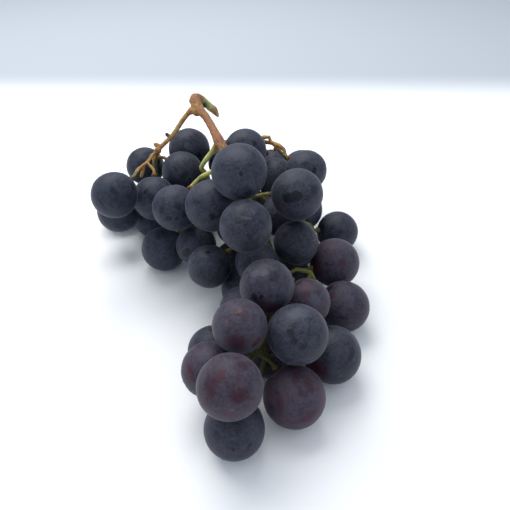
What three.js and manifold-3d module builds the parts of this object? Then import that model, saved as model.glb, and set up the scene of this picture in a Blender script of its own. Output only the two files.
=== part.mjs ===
// A bunch of dark table grapes lying on its side, cut with a short length of its stem.
// Millimetres, +Z up. The bunch lies along Y, its cut stem at +Y and its tip at -Y,
// and the surface it lies on is z = 0. Its origin is under the middle of its box.
import * as THREE from 'three';
import { mergeVertices } from 'three/addons/utils/BufferGeometryUtils.js';
import Module from 'manifold-3d';

const wasm = await Module();
wasm.setup();

// Clearances between what grew side by side
const GRAPE_GAP = 0.3;
const STEM_GAP = 0.45;
const FOOT_DEPTH = 0.6;
const NEAR_SURFACE = 1;

// Stem thicknesses, as radii
const KNUCKLE = 3.0;
const CUT_STEM = 2.1;
const UPPER_STEM = 2.0;
const NODE = 2.7;
const TWIG = 1.2;
const TWIG_START = 1.35;
const TWIG_TIP = 1.0;
const PEDICEL = 0.95;
const NECK = 1.05;
const BUTTON = 1.9;

// How the solids are faced
const GRAPE_DETAIL = 2;
const STEM_SIDES = 9;
const TWIG_SIDES = 6;
const PEDICEL_SIDES = 5;
const STEM_STEP = 5.5;
const TWIG_STEP = 7;
const PEDICEL_RINGS = 5;

// How the pieces settle against each other
const SETTLE_ROUNDS = 400;
const BEND_ROUNDS = 260;
const STIFFNESS = 0.25;
const OVERSHOOT = 0.2;

// The main stem, from its cut end over the knuckle and down through the bunch to the tip
const MAIN_STEM = [
  { at: [-4, 94, 60], r: CUT_STEM },
  { at: [-8, 91, 64], r: CUT_STEM },
  { at: [-13, 87, 70], r: CUT_STEM },
  { at: [-18, 83, 76], r: KNUCKLE - 0.4 },
  { at: [-20, 79, 77], r: KNUCKLE },
  { at: [-18, 74, 75], r: KNUCKLE },
  { at: [-16, 70, 74], r: UPPER_STEM + 0.3 },
  { at: [-13, 65, 73], r: UPPER_STEM },
  { at: [-8, 54, 70], r: UPPER_STEM },
  { at: [-5, 46, 68], r: NODE },
  { at: [-1, 38, 65], r: UPPER_STEM + 0.3 },
  { at: [5, 24, 57], r: UPPER_STEM },
  { at: [9, 17, 53], r: UPPER_STEM + 0.2 },
  { at: [16, 8, 41], r: UPPER_STEM },
  { at: [23, 0, 26], r: UPPER_STEM },
  { at: [27, -12, 24], r: UPPER_STEM },
  { at: [25, -24, 29], r: UPPER_STEM - 0.3 },
  { at: [22, -37, 28], r: UPPER_STEM - 0.3 },
  { at: [19, -46, 27], r: TWIG + 0.4 },
  { at: [18, -55, 25], r: TWIG + 0.2 },
];

// The side stems, each from its start on the main stem or on another side stem
const SIDE_STEMS = {
  shoulder_arm: [[-19, 76, 75], [-23, 73, 72], [-27, 69, 68], [-32, 64, 62], [-38, 59, 58], [-41, 56, 56],
    [-45, 50, 53], [-49, 44, 52]],
  shoulder_drop: [[-40, 57, 56], [-43, 61, 49], [-44, 64, 39], [-44, 66, 27]],
  green_side: [[-5, 46, 68], [-10, 44, 60], [-15, 46, 53], [-13, 50, 43], [-11, 53, 33], [-10, 58, 22]],
  yellow_side: [[0, 34, 63], [-4, 30, 60], [-9, 28, 59], [-14, 28, 56]],
  right_twig: [[-5, 46, 68], [-5, 55, 62], [-3, 64, 58], [3, 71, 56], [12, 72, 57], [19, 69, 56], [23, 66, 57],
    [27, 61, 58], [30, 55, 58]],
  right_side: [[7, 20, 55], [14, 32, 44], [24, 40, 31], [34, 37, 25], [45, 35, 22]],
  back_side: [[-4, 44, 67], [-2, 51, 50], [6, 66, 38], [14, 74, 30]],
  left_side: [[9, 17, 53], [-1, 21, 46], [-12, 20, 36], [-22, 25, 30], [-25, 31, 22]],
  low_side: [[27, -12, 24], [34, -10, 27], [41, -11, 26]],
  middle_drop: [[16, 8, 41], [14, 9, 30], [13, 6, 18]],
  tip_left: [[18, -55, 25], [13, -63, 24], [8, -70, 22]],
  tip_right: [[18, -55, 25], [18, -61, 19], [13, -68, 14]],
};

// Stubs that have lost their grapes, on the twigs that stand clear of the bunch
const STUBS = [
  [[23, 66, 57], [22, 67, 60], [17, 68, 59]],
  [[27, 62, 58], [25, 62, 54]],
  [[-38, 59, 58], [-42, 60, 59]],
  [[-33, 63, 62], [-36, 65, 63]],
  [[-46, 48, 52], [-48, 44, 47]],
];
const STUB_RADIUS = 0.9;
const STUB_HEAD = 1.3;
const STUB_HEAD_AT = 0.7;

// The grapes: middle and diameter, grouped as they hang. Where the button shows, so does the way
// from the grape's middle to it.
const GRAPES = [
  // Left shoulder
  { at: [-57, 21, 50], d: 23.6, button: [0.59, 0.78, 0.42] },
  { at: [-64, 44, 25], d: 24.2 },
  { at: [-53, 79, 35], d: 23.2, button: [0.5, -0.3, 0.81] },
  { at: [-40, 36, 39], d: 23.9, button: [0.09, 0.86, 0.6] },
  { at: [-49, 58, 12], d: 23.6 },
  { at: [-46, 82, 12], d: 24.2 },
  { at: [-70, 67, 12], d: 24.0 },
  { at: [-37, 26, 12], d: 25.0, button: [0.72, 0.29, 0.62] },
  // Beside and under the knuckle
  { at: [-25, 79, 46], d: 25.0, button: [0.3, -0.2, -0.93] },
  { at: [-27, 55, 44], d: 23.7, button: [-0.79, 0.61, 0.29] },
  { at: [-4, 82, 36], d: 23.2 },
  { at: [-28, 83, 20], d: 24.0 },
  { at: [-22, 61, 12], d: 24.2 },
  { at: [-15, 36, 35], d: 24.1 },
  { at: [7, 51, 28], d: 23.9 },
  { at: [2, 76, 12], d: 24.2 },
  // Top of the bunch
  { at: [7, 0, 75], d: 25.4 },
  { at: [-7, 5, 54], d: 25.0 },
  { at: [-26, 17, 45], d: 23.8, button: [0.51, 0.77, 0.49] },
  { at: [10, -19, 59], d: 23.4 },
  { at: [34, 7, 59], d: 25.0, button: [-0.93, 0.28, -0.22] },
  { at: [9, 56, 57], d: 23.5 },
  { at: [41, 39, 54], d: 21.8, button: [-0.76, 0.52, 0.42] },
  { at: [26, 53, 41], d: 23.0 },
  // Right side and back
  { at: [26, 86, 28], d: 23.0, button: [-0.29, 0.02, 0.96] },
  { at: [42, 70, 37], d: 24.1 },
  { at: [38, 84, 12], d: 24.1 },
  { at: [22, 65, 14], d: 24.0 },
  { at: [40, 50, 23], d: 25.4 },
  { at: [62, 43, 12], d: 24.2, button: [-0.97, 0.38, 0.1] },
  { at: [29, 25, 35], d: 24.2 },
  { at: [37, 28, 12], d: 24.1 },
  { at: [3, 17, 12], d: 22.8 },
  // Middle
  { at: [-17, 16, 22], d: 21.8, button: [-0.3, 0.9, 0] },
  { at: [-8, -6, 25], d: 21.8, button: [0.6, 0.66, 0.43] },
  { at: [15, -9, 31], d: 21.2, button: [0.5, 0.6, -0.6] },
  { at: [34, 1, 35], d: 22.4, button: [-0.5, 0.5, -0.7] },
  { at: [33, 5, 11], d: 21.6 },
  { at: [55, 3, 19], d: 25.6, button: [-0.93, -0.14, -0.34] },
  { at: [57, -19, 12], d: 25.6 },
  { at: [37, -34, 28], d: 21.6, button: [-0.44, 0.64, 0.64] },
  { at: [28, -20, 12], d: 24.1 },
  { at: [7, -6, 11], d: 22.0 },
  { at: [8, -30, 19], d: 20.6 },
  // Front
  { at: [19, -40, 43], d: 23.4 },
  { at: [8, -61, 41], d: 22.0, button: [0, 0.33, -0.94] },
  { at: [31, -60, 35], d: 24.9, button: [-0.2, 0.36, -0.92] },
  { at: [48, -51, 13], d: 26.0 },
  { at: [17, -47, 12], d: 23.6 },
  { at: [-4, -47, 11], d: 22.6 },
  { at: [-4, -67, 22], d: 22.8, button: [0.75, 0.55, 0.36] },
  { at: [5, -86, 35], d: 24.5, button: [0.06, 0.87, -0.47] },
  { at: [30, -73, 13], d: 26.0, button: [-0.44, 0.71, 0.58] },
  { at: [6, -87, 12], d: 24.0, button: [0.45, 0.75, 0.48] },
  // Deep in the middle
  { at: [2, 18, 32], d: 23.0 },
];

const vec = (p) => new THREE.Vector3(...p);
const clamp = (x, low, high) => Math.min(high, Math.max(low, x));

// The place on the straight stretch from a to b that is nearest to p, from 0 at a to 1 at b.
function along(a, b, p) {
  const ab = b.clone().sub(a);
  return clamp(p.clone().sub(a).dot(ab) / ab.lengthSq(), 0, 1);
}

// A stem as evenly spaced points with a radius at each, smoothed through the points given.
function smoothStem(knots, step) {
  const curve = new THREE.CatmullRomCurve3(knots.map((k) => vec(k.at)), false, 'centripetal');
  const pieces = Math.max(2, Math.round(curve.getLength() / step));
  const stem = [];
  for (let i = 0; i <= pieces; i++) {
    const t = i / pieces;
    const k = Math.min(Math.floor(t * (knots.length - 1)), knots.length - 2);
    const part = t * (knots.length - 1) - k;
    stem.push({ p: curve.getPoint(t), r: THREE.MathUtils.lerp(knots[k].r, knots[k + 1].r, part) });
  }
  return stem;
}

// The side stems taper from a twig's thickness to its tip's.
function sideStem(points) {
  const last = points.length - 1;
  const knots = points.map((at, i) => ({ at, r: THREE.MathUtils.lerp(TWIG_START, TWIG_TIP, i / last) }));
  return smoothStem(knots, TWIG_STEP);
}

const mainStem = smoothStem(MAIN_STEM, STEM_STEP);
const sideStems = Object.values(SIDE_STEMS).map(sideStem);
const stems = [mainStem, ...sideStems];
const grapes = GRAPES.map(({ at, d, button }) => (
  { c: vec(at), r: d / 2, button: button && vec(button).normalize() }));

// Grapes push each other apart and off the stems until none overlap. The lowest stand on the
// surface, each on a foot pressed a little flat.
function settle() {
  for (let round = 0; round < SETTLE_ROUNDS; round++) {
    for (const [i, g] of grapes.entries()) {
      for (const other of grapes.slice(i + 1)) {
        const apart = g.c.clone().sub(other.c);
        const short = g.r + other.r + GRAPE_GAP - apart.length();
        if (short > 0) {
          apart.setLength(short / 2);
          g.c.add(apart);
          other.c.sub(apart);
        }
      }
      for (const stem of stems) {
        for (let k = 0; k + 1 < stem.length; k++) {
          const t = along(stem[k].p, stem[k + 1].p, g.c);
          const away = g.c.clone().sub(stem[k].p.clone().lerp(stem[k + 1].p, t));
          const short = g.r + stem[k].r + STEM_GAP - away.length();
          if (short > 0) g.c.add(away.setLength(short / 2));
        }
      }
      if (g.c.z < g.r + NEAR_SURFACE) g.c.z = g.r - FOOT_DEPTH;
    }
  }
}

// A stem's free points move off every grape that the stem would cross, and share the move with
// their neighbours, so that the stem keeps its form. Its first point stays where it is, and with
// an own grape, whose skin it ends at, so does its last.
function bendClear(stem, own) {
  const home = stem.map(({ p }) => p.clone());
  const end = stem.length - 1;
  const free = (i) => i > 0 && (i < end || !own);
  for (let round = 0; round < BEND_ROUNDS; round++) {
    for (let i = 1; i < end; i++) {
      const before = stem[i - 1].p.clone().sub(home[i - 1]);
      const after = stem[i + 1].p.clone().sub(home[i + 1]);
      const shared = home[i].clone().addScaledVector(before.add(after), 0.5);
      stem[i].p.lerp(shared, STIFFNESS);
    }
    for (let i = 0; i < end; i++) {
      const a = stem[i];
      const b = stem[i + 1];
      for (const g of grapes) {
        if (g === own && i === end - 1) continue;
        const t = along(a.p, b.p, g.c);
        const away = a.p.clone().lerp(b.p, t).sub(g.c);
        const short = g.r + Math.max(a.r, b.r) + STEM_GAP - away.length();
        if (short <= 0) continue;
        away.setLength(short);
        if (free(i)) a.p.addScaledVector(away, 1 - t + OVERSHOOT);
        if (free(i + 1)) b.p.addScaledVector(away, t + OVERSHOOT);
      }
      if (free(i)) a.p.z = Math.max(a.p.z, a.r + STEM_GAP);
    }
  }
}

// How deep a straight stretch cuts into the grapes other than its own.
function blocked(a, b, own) {
  let depth = 0;
  for (const g of grapes) {
    if (g === own) continue;
    const t = along(a, b, g.c);
    const near = a.clone().lerp(b, t).distanceTo(g.c);
    depth += Math.max(0, g.r + PEDICEL + STEM_GAP - near);
  }
  return depth;
}

// Directions spread evenly over a ball, by the golden angle.
function directions(count) {
  const golden = Math.PI * (3 - Math.sqrt(5));
  return Array.from({ length: count }, (_, i) => {
    const z = 1 - (2 * i + 1) / count;
    const flat = Math.sqrt(1 - z * z);
    return new THREE.Vector3(flat * Math.cos(golden * i), flat * Math.sin(golden * i), z);
  });
}

const WAYS = directions(160);
const BUTTON_REACH = 3.5;
const SHORT_PEDICEL = 6;
const LONG_PEDICEL = 45;

// What speaks against a way to hang, each in millimetres of pedicel
const COST = { surface: 20, crowded: 12, stubby: 2.5, turn: 6, throughSelf: 8, throughOthers: 3, offButton: 90 };
const TOO_CROWDED = 40;

// How much of a pedicel's button and its neck would not fit at a free place on a grape's skin.
function crowding(g, pole, out) {
  let sum = Math.max(0, BUTTON + STEM_GAP - pole.z) * COST.surface;
  for (const other of grapes) {
    if (other === g) continue;
    sum += COST.crowded * Math.max(0, other.r + BUTTON + STEM_GAP - other.c.distanceTo(pole));
    sum += COST.crowded * Math.max(0, other.r + PEDICEL + STEM_GAP - other.c.distanceTo(out));
  }
  return sum;
}

// A grape hangs by the shortest open way from a stem to a free place on its skin, near where its
// button shows if it does.
function hang(g) {
  let best = { cost: Infinity };
  for (const way of WAYS) {
    const pole = g.c.clone().addScaledVector(way, g.r + GRAPE_GAP);
    const out = g.c.clone().addScaledVector(way, g.r + BUTTON_REACH);
    const crowded = crowding(g, pole, out);
    if (crowded > TOO_CROWDED) continue;
    const off = g.button ? COST.offButton * (1 - g.button.dot(way)) : 0;
    for (const stem of stems) {
      for (const place of stem.slice(1)) {
        const reach = place.p.distanceTo(out);
        if (reach > LONG_PEDICEL || reach < BUTTON) continue;
        const turn = 1 - place.p.clone().sub(out).normalize().dot(way);
        const nearest = place.p.clone().lerp(out, along(place.p, out, g.c));
        let cost = reach + crowded + off + COST.turn * turn;
        cost += COST.stubby * Math.max(0, SHORT_PEDICEL - reach);
        cost += COST.throughSelf * Math.max(0, g.r + 1 - nearest.distanceTo(g.c));
        cost += COST.throughOthers * blocked(place.p, out, g);
        if (cost < best.cost) best = { cost, pole, out, place };
      }
    }
  }
  return best;
}

// Where the neck ends and where the button is widest, as shares of a pedicel's last stretch
const NECK_END = 0.55;
const BUTTON_WIDEST = 0.82;

// Where along its way a pedicel is pulled into its curve
const PEDICEL_BEND = 0.6;

// The pedicel starts on its stem's middle line, swells into its button, and ends just off the grape.
function pedicel(g) {
  const { pole, out, place } = hang(g);
  const curve = new THREE.QuadraticBezierCurve3(place.p.clone(), place.p.clone().lerp(out, PEDICEL_BEND), out);
  const stem = curve.getPoints(PEDICEL_RINGS - 2).map((p) => ({ p, r: PEDICEL }));
  stem.push({ p: pole, r: BUTTON });
  bendClear(stem, g);
  const near = stem[stem.length - 2].p;
  stem[stem.length - 1].r = BUTTON - GRAPE_GAP;
  stem.splice(stem.length - 1, 0, { p: near.clone().lerp(pole, NECK_END), r: NECK },
    { p: near.clone().lerp(pole, BUTTON_WIDEST), r: BUTTON });
  return stem;
}

// A closed round limb through the points of a stem, as thick at each as its radius.
function limb(stem, sides) {
  const rings = stem.length - 1;
  const geometry = new THREE.CylinderGeometry(1, 1, 1, sides, rings);
  geometry.deleteAttribute('normal');
  geometry.deleteAttribute('uv');
  const merged = mergeVertices(geometry);
  const frames = [];
  let side = new THREE.Vector3(1, 0, 0);
  for (let k = 0; k <= rings; k++) {
    const ahead = stem[Math.min(k + 1, rings)].p;
    const behind = stem[Math.max(k - 1, 0)].p;
    const forward = ahead.clone().sub(behind).normalize();
    if (k === 0 && Math.abs(forward.x) > 0.9) side.set(0, 0, 1);
    side = side.clone().addScaledVector(forward, -side.dot(forward)).normalize();
    frames.push({ side, other: side.clone().cross(forward) });
  }
  const place = merged.attributes.position;
  for (let i = 0; i < place.count; i++) {
    const k = Math.round((place.getY(i) + 0.5) * rings);
    const { side: across, other } = frames[k];
    const p = stem[k].p.clone();
    p.addScaledVector(across, place.getX(i) * stem[k].r);
    p.addScaledVector(other, place.getZ(i) * stem[k].r);
    place.setXYZ(i, p.x, p.y, p.z);
  }
  return merged;
}

// A geometry as a solid that can be joined and cut.
function solid(geometry) {
  const merged = geometry.index ? geometry : mergeVertices(geometry);
  return new wasm.Manifold(new wasm.Mesh({
    numProp: 3,
    vertProperties: new Float32Array(merged.attributes.position.array),
    triVerts: new Uint32Array(merged.index.array),
  }));
}

// A joined or cut solid as a geometry again.
function geometryOf(manifold) {
  const { vertProperties, triVerts } = manifold.getMesh();
  const geometry = new THREE.BufferGeometry();
  geometry.setAttribute('position', new THREE.BufferAttribute(vertProperties, 3));
  geometry.setIndex(new THREE.BufferAttribute(triVerts, 1));
  return geometry;
}

// A grape is a ball, its foot cut flat where it stands on the surface.
function grapeGeometry(g) {
  const ball = new THREE.IcosahedronGeometry(g.r, GRAPE_DETAIL);
  ball.deleteAttribute('normal');
  ball.deleteAttribute('uv');
  ball.translate(g.c.x, g.c.y, g.c.z);
  const merged = mergeVertices(ball);
  if (g.c.z > g.r) return merged;
  return geometryOf(solid(merged).subtract(solid(surfaceBlock())));
}

const BLOCK = 600;

// A block, merged and ready to cut with.
function block(size) {
  const geometry = new THREE.BoxGeometry(size, size, size);
  geometry.deleteAttribute('normal');
  geometry.deleteAttribute('uv');
  return mergeVertices(geometry);
}

// A block whose top is the surface, to cut the feet with.
function surfaceBlock() {
  return block(BLOCK).translate(0, 0, -BLOCK / 2);
}

// The knife went through the stem here, at a slant to it: the turns are about Z and Y.
const CUT = { at: [-7.8, 91.2, 63.6], turnZ: -0.14, turnY: -0.11, block: 20 };

// What the knife took off: a block with a face at the cut.
function knifeCut() {
  return block(CUT.block).translate(CUT.block / 2, 0, 0).rotateZ(CUT.turnZ).rotateY(CUT.turnY).translate(...CUT.at);
}

// The place on the middle lines of the stems that is nearest to a point.
function nearestOnStems(point) {
  const places = [];
  for (const stem of stems) {
    for (let k = 0; k + 1 < stem.length; k++) {
      const t = along(stem[k].p, stem[k + 1].p, point);
      places.push(stem[k].p.clone().lerp(stem[k + 1].p, t));
    }
  }
  return places.reduce((best, p) => (p.distanceTo(point) < best.distanceTo(point) ? p : best));
}

// The main stem, its side stems, stubs and pedicels grow as one piece.
function stalkGeometry() {
  for (const stem of sideStems) bendClear(stem, null);
  const limbs = [limb(mainStem, STEM_SIDES)];
  for (const stem of sideStems) limbs.push(limb(stem, TWIG_SIDES));
  for (const points of STUBS) {
    const root = nearestOnStems(vec(points[0]));
    const stub = [root, ...points.slice(1).map(vec)].map((p) => ({ p, r: STUB_RADIUS }));
    const [before, last] = stub.slice(-2);
    stub.splice(-1, 0, { p: before.p.clone().lerp(last.p, STUB_HEAD_AT), r: STUB_HEAD });
    limbs.push(limb(stub, PEDICEL_SIDES));
  }
  for (const g of grapes) limbs.push(limb(pedicel(g), PEDICEL_SIDES));
  const grown = wasm.Manifold.union(limbs.map(solid));
  return geometryOf(grown.subtract(solid(knifeCut())));
}

const skin = new THREE.MeshStandardMaterial({ color: 0x343a4a, roughness: 0.6, metalness: 0 });
const bark = new THREE.MeshStandardMaterial({ color: 0x9a7a4c, roughness: 0.8, metalness: 0 });

// Meshes keep their place as position, with their own middle at the mesh's origin.
function meshAt(name, geometry, material, middle) {
  geometry.translate(-middle.x, -middle.y, -middle.z);
  geometry.computeVertexNormals();
  const mesh = new THREE.Mesh(geometry, material);
  mesh.name = name;
  mesh.position.copy(middle);
  return mesh;
}

settle();
const bunch = new THREE.Group();
bunch.add(meshAt('stalk', stalkGeometry(), bark, mainStem[0].p));
for (const [i, g] of grapes.entries()) {
  const name = `grape_${String(i + 1).padStart(2, '0')}`;
  bunch.add(meshAt(name, grapeGeometry(g), skin, g.c));
}

// The origin goes under the middle of the bunch.
const box = new THREE.Box3().setFromObject(bunch, true);
const middle = box.getCenter(new THREE.Vector3());
bunch.position.set(-middle.x, -middle.y, 0);

export default bunch;
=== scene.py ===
"""The look of a bunch of dark table grapes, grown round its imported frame.

Everything is in metres and in the frame's own axes. The bunch lies along Y on the surface
z = 0, its cut stem towards +Y. Each grape of the frame is replaced by one with a living
form and a bloomed skin, and the stalk by one with bark, buttons and a cut end.
"""
import logging
import math
from dataclasses import dataclass
from enum import Enum
from typing import Any

import bmesh
import bpy
import numpy as np
from mathutils import Matrix, Quaternion, Vector
from mathutils.kdtree import KDTree


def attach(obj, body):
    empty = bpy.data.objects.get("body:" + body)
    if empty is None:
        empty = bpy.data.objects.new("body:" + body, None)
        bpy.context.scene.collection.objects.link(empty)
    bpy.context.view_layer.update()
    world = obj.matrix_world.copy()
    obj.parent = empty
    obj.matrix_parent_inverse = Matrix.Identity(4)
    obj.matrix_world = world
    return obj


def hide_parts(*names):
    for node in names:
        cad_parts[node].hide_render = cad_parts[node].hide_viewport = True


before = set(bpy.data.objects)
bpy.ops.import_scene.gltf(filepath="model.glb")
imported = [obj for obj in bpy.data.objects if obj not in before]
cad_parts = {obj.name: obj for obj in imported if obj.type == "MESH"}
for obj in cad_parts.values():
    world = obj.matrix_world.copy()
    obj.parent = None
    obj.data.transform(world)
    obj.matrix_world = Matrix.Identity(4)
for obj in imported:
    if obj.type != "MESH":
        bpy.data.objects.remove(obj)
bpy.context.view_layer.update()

MM = 0.001
FOOT_HEIGHT = 0.05 * MM
PICTURE_SIZE = 510
SENSOR_WIDTH = 36.0
BODY = "root"
Colour = tuple[float, float, float]

logging.basicConfig(level=logging.INFO, format="%(message)s")
log = logging.getLogger("bunch")


class Val:
    """An output socket that takes part in Python expressions."""

    def __init__(self, graph: "Graph", socket: bpy.types.NodeSocket) -> None:
        """Keeps the socket and the graph that new nodes go to."""
        self.graph = graph
        self.socket = socket

    def _math(self, operation: str, first: Any, second: Any = 0.0) -> "Val":
        """Adds one Math node.

        Args:
            operation: Blender's name of the operation.
            first: the first value or Val.
            second: the second value or Val.

        Returns:
            The node's output.
        """
        return self.graph.out("ShaderNodeMath", {"operation": operation}, {0: first, 1: second})

    def __add__(self, other: Any) -> "Val":
        """self + other."""
        return self._math("ADD", self, other)

    __radd__ = __add__

    def __sub__(self, other: Any) -> "Val":
        """self - other."""
        return self._math("SUBTRACT", self, other)

    def __rsub__(self, other: Any) -> "Val":
        """other - self."""
        return self._math("SUBTRACT", other, self)

    def __mul__(self, other: Any) -> "Val":
        """self * other."""
        return self._math("MULTIPLY", self, other)

    __rmul__ = __mul__

    def __truediv__(self, other: Any) -> "Val":
        """self / other."""
        return self._math("DIVIDE", self, other)

    def __neg__(self) -> "Val":
        """-self."""
        return self._math("MULTIPLY", self, -1.0)

    def one(self, operation: str) -> "Val":
        """A Math operation on this value alone, such as SQRT."""
        return self._math(operation, self)

    def at_least(self, other: Any) -> "Val":
        """The larger of the two."""
        return self._math("MAXIMUM", self, other)

    def at_most(self, other: Any) -> "Val":
        """The smaller of the two."""
        return self._math("MINIMUM", self, other)

    def clamped(self) -> "Val":
        """The value kept between 0 and 1."""
        return self.at_least(0.0).at_most(1.0)

    def rise(self, low: Any, high: Any) -> "Val":
        """A smooth step from 0 at low to 1 at high."""
        sockets = {"Value": self, "From Min": low, "From Max": high}
        return self.graph.out("ShaderNodeMapRange", {"interpolation_type": "SMOOTHSTEP"}, sockets)

    def hill(self, width: Any) -> "Val":
        """A bell that is 1 where the value is 0 and falls off over the width."""
        ratio = self / width
        return (-(ratio * ratio)).one("EXPONENT")


class Graph:
    """A shader or geometry tree that is built by Python expressions."""

    def __init__(self, tree: bpy.types.NodeTree) -> None:
        """Keeps the tree."""
        self.tree = tree

    def node(self, kind: str, settings: dict | None = None, sockets: dict | None = None) -> Any:
        """Adds a node.

        Args:
            kind: Blender's type name of the node.
            settings: its properties, set first.
            sockets: a value or a Val for each input, by name or index.

        Returns:
            The node.
        """
        made = self.tree.nodes.new(kind)
        for key, value in (settings or {}).items():
            setattr(made, key, value)
        for key, value in (sockets or {}).items():
            target = made.inputs[key]
            if isinstance(value, Val):
                self.tree.links.new(value.socket, target)
            elif isinstance(value, tuple) and len(value) == 3 and target.type == "RGBA":
                target.default_value = (*value, 1.0)
            elif target.enabled or not isinstance(value, float):
                target.default_value = value
        return made

    def out(
        self, kind: str, settings: dict | None = None, sockets: dict | None = None, index: Any = 0
    ) -> Val:
        """Adds a node and gives one of its outputs as a Val."""
        return Val(self, self.node(kind, settings, sockets).outputs[index])

    def blend(self, share: Any, first: Any, second: Any) -> Val:
        """A colour that goes from first to second as share goes from 0 to 1."""
        sockets = {0: share, 6: first, 7: second}
        return self.out("ShaderNodeMix", {"data_type": "RGBA"}, sockets, 2)

    def scaled(self, vector: Any, factor: Any) -> Val:
        """A vector times a number."""
        sockets = {0: vector, "Scale": factor}
        return self.out("ShaderNodeVectorMath", {"operation": "SCALE"}, sockets)

    def vectors(self, operation: str, first: Any, second: Any, index: Any = 0) -> Val:
        """A Vector Math operation on two vectors."""
        return self.out("ShaderNodeVectorMath", {"operation": operation}, {0: first, 1: second}, index)

    def noise(
        self, place: Any, size: float, detail: float = 2.0, rough: float = 0.5, seed: Any = 0.0
    ) -> Val:
        """Soft noise about 0.5.

        Args:
            place: the coordinates, in metres.
            size: how far apart its features lie, in metres.
            detail: how many finer layers it has.
            rough: how strong the finer layers are.
            seed: the place along its fourth dimension.

        Returns:
            The noise.
        """
        sockets = {"Vector": place, "W": seed, "Scale": 1.0 / size, "Detail": detail, "Roughness": rough}
        return self.out("ShaderNodeTexNoise", {"noise_dimensions": "4D"}, sockets)

    def named(self, name: str, index: Any = "Fac") -> Val:
        """A named attribute of the mesh, read by a shader."""
        settings = {"attribute_type": "GEOMETRY", "attribute_name": name}
        return self.out("ShaderNodeAttribute", settings, None, index)


@dataclass(frozen=True)
class Ball:
    """A grape as the frame holds it: its node, middle, radius and the way to its pedicel."""

    node: str
    middle: Vector
    radius: float
    stem_way: Vector


def points_of(obj: bpy.types.Object) -> np.ndarray:
    """The vertices of an object as an array of places."""
    places = np.empty(len(obj.data.vertices) * 3)
    obj.data.vertices.foreach_get("co", places)
    return places.reshape(-1, 3)


def read_balls(nodes: dict[str, bpy.types.Object]) -> list[Ball]:
    """Reads the grapes from the frame.

    Args:
        nodes: the frame's nodes by name.

    Returns:
        One Ball for each grape node, in the order of their names.
    """
    stalk = points_of(nodes["stalk"])
    balls = []
    for name in sorted(n for n in nodes if n.startswith("grape_")):
        places = points_of(nodes[name])
        round_ones = places[places[:, 2] > FOOT_HEIGHT]
        sums = (round_ones**2).sum(1)
        rows = np.c_[2 * round_ones, np.ones(len(round_ones))]
        fit = np.linalg.lstsq(rows, sums, rcond=None)[0]
        middle = fit[:3]
        radius = math.sqrt(fit[3] + middle @ middle)
        button = stalk[np.linalg.norm(stalk - middle, axis=1).argmin()]
        balls.append(Ball(name, Vector(middle), radius, (Vector(button) - Vector(middle)).normalized()))
    return balls


def plain_mesh(obj: bpy.types.Object) -> bpy.types.Mesh:
    """What an object's modifiers make of it, as a new mesh."""
    view = bpy.context.evaluated_depsgraph_get()
    evaluated = obj.evaluated_get(view)
    return bpy.data.meshes.new_from_object(evaluated, preserve_all_data_layers=True, depsgraph=view)


def grown(
    name: str, tree: bpy.types.NodeTree, values: dict[str, Any], start: bpy.types.Mesh | None = None
) -> bpy.types.Object:
    """Runs a geometry tree and keeps what it makes as a plain mesh.

    Args:
        name: the new object's name.
        tree: the geometry tree.
        values: a value for each of the tree's named inputs.
        start: the mesh that goes into the tree, if it takes one.

    Returns:
        A linked object with the result as its mesh and no modifier.
    """
    seed_mesh = start or bpy.data.meshes.new(name)
    obj = bpy.data.objects.new(name, seed_mesh)
    bpy.context.scene.collection.objects.link(obj)
    modifier = obj.modifiers.new("Growth", "NODES")
    modifier.node_group = tree
    for item in tree.interface.items_tree:
        if item.item_type == "SOCKET" and item.in_out == "INPUT" and item.name in values:
            modifier[item.identifier] = values[item.name]
    result = plain_mesh(obj)
    obj.modifiers.remove(modifier)
    obj.data = result
    result.name = name
    bpy.data.meshes.remove(seed_mesh)
    return obj


def new_tree(name: str, inputs: list[tuple[str, str]]) -> tuple[Graph, dict[str, Val]]:
    """Starts a geometry tree with a geometry input and output.

    Args:
        name: the tree's name.
        inputs: the name and socket type of each further input.

    Returns:
        The graph, and its inputs by name.
    """
    tree = bpy.data.node_groups.new(name, "GeometryNodeTree")
    tree.interface.new_socket("Geometry", in_out="INPUT", socket_type="NodeSocketGeometry")
    for label, kind in inputs:
        tree.interface.new_socket(label, in_out="INPUT", socket_type=kind)
    tree.interface.new_socket("Geometry", in_out="OUTPUT", socket_type="NodeSocketGeometry")
    graph = Graph(tree)
    entry = graph.node("NodeGroupInput")
    return graph, {socket.name: Val(graph, socket) for socket in entry.outputs if socket.name}


def end_tree(graph: Graph, geometry: Any, material: Any) -> None:
    """Ends a geometry tree: realized, shaded smooth and in its material."""
    real = graph.out("GeometryNodeRealizeInstances", None, {0: geometry})
    smooth = graph.out("GeometryNodeSetShadeSmooth", None, {0: real})
    dressed = graph.out("GeometryNodeSetMaterial", None, {"Geometry": smooth, "Material": material})
    graph.node("NodeGroupOutput", None, {0: dressed})


def new_material(name: str) -> tuple[bpy.types.Material, Graph, Any]:
    """Starts a material.

    Args:
        name: the material's name.

    Returns:
        The material, its graph and its Principled shader.
    """
    material = bpy.data.materials.new(name)
    material.use_nodes = True
    graph = Graph(material.node_tree)
    shader = next(n for n in material.node_tree.nodes if n.type == "BSDF_PRINCIPLED")
    return material, graph, shader


def join_sockets(graph: Graph, shader: Any, sockets: dict[str, Any]) -> None:
    """Gives a shader its values and links."""
    for name, value in sockets.items():
        if isinstance(value, Val):
            graph.tree.links.new(value.socket, shader.inputs[name])
        else:
            shader.inputs[name].default_value = value


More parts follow.
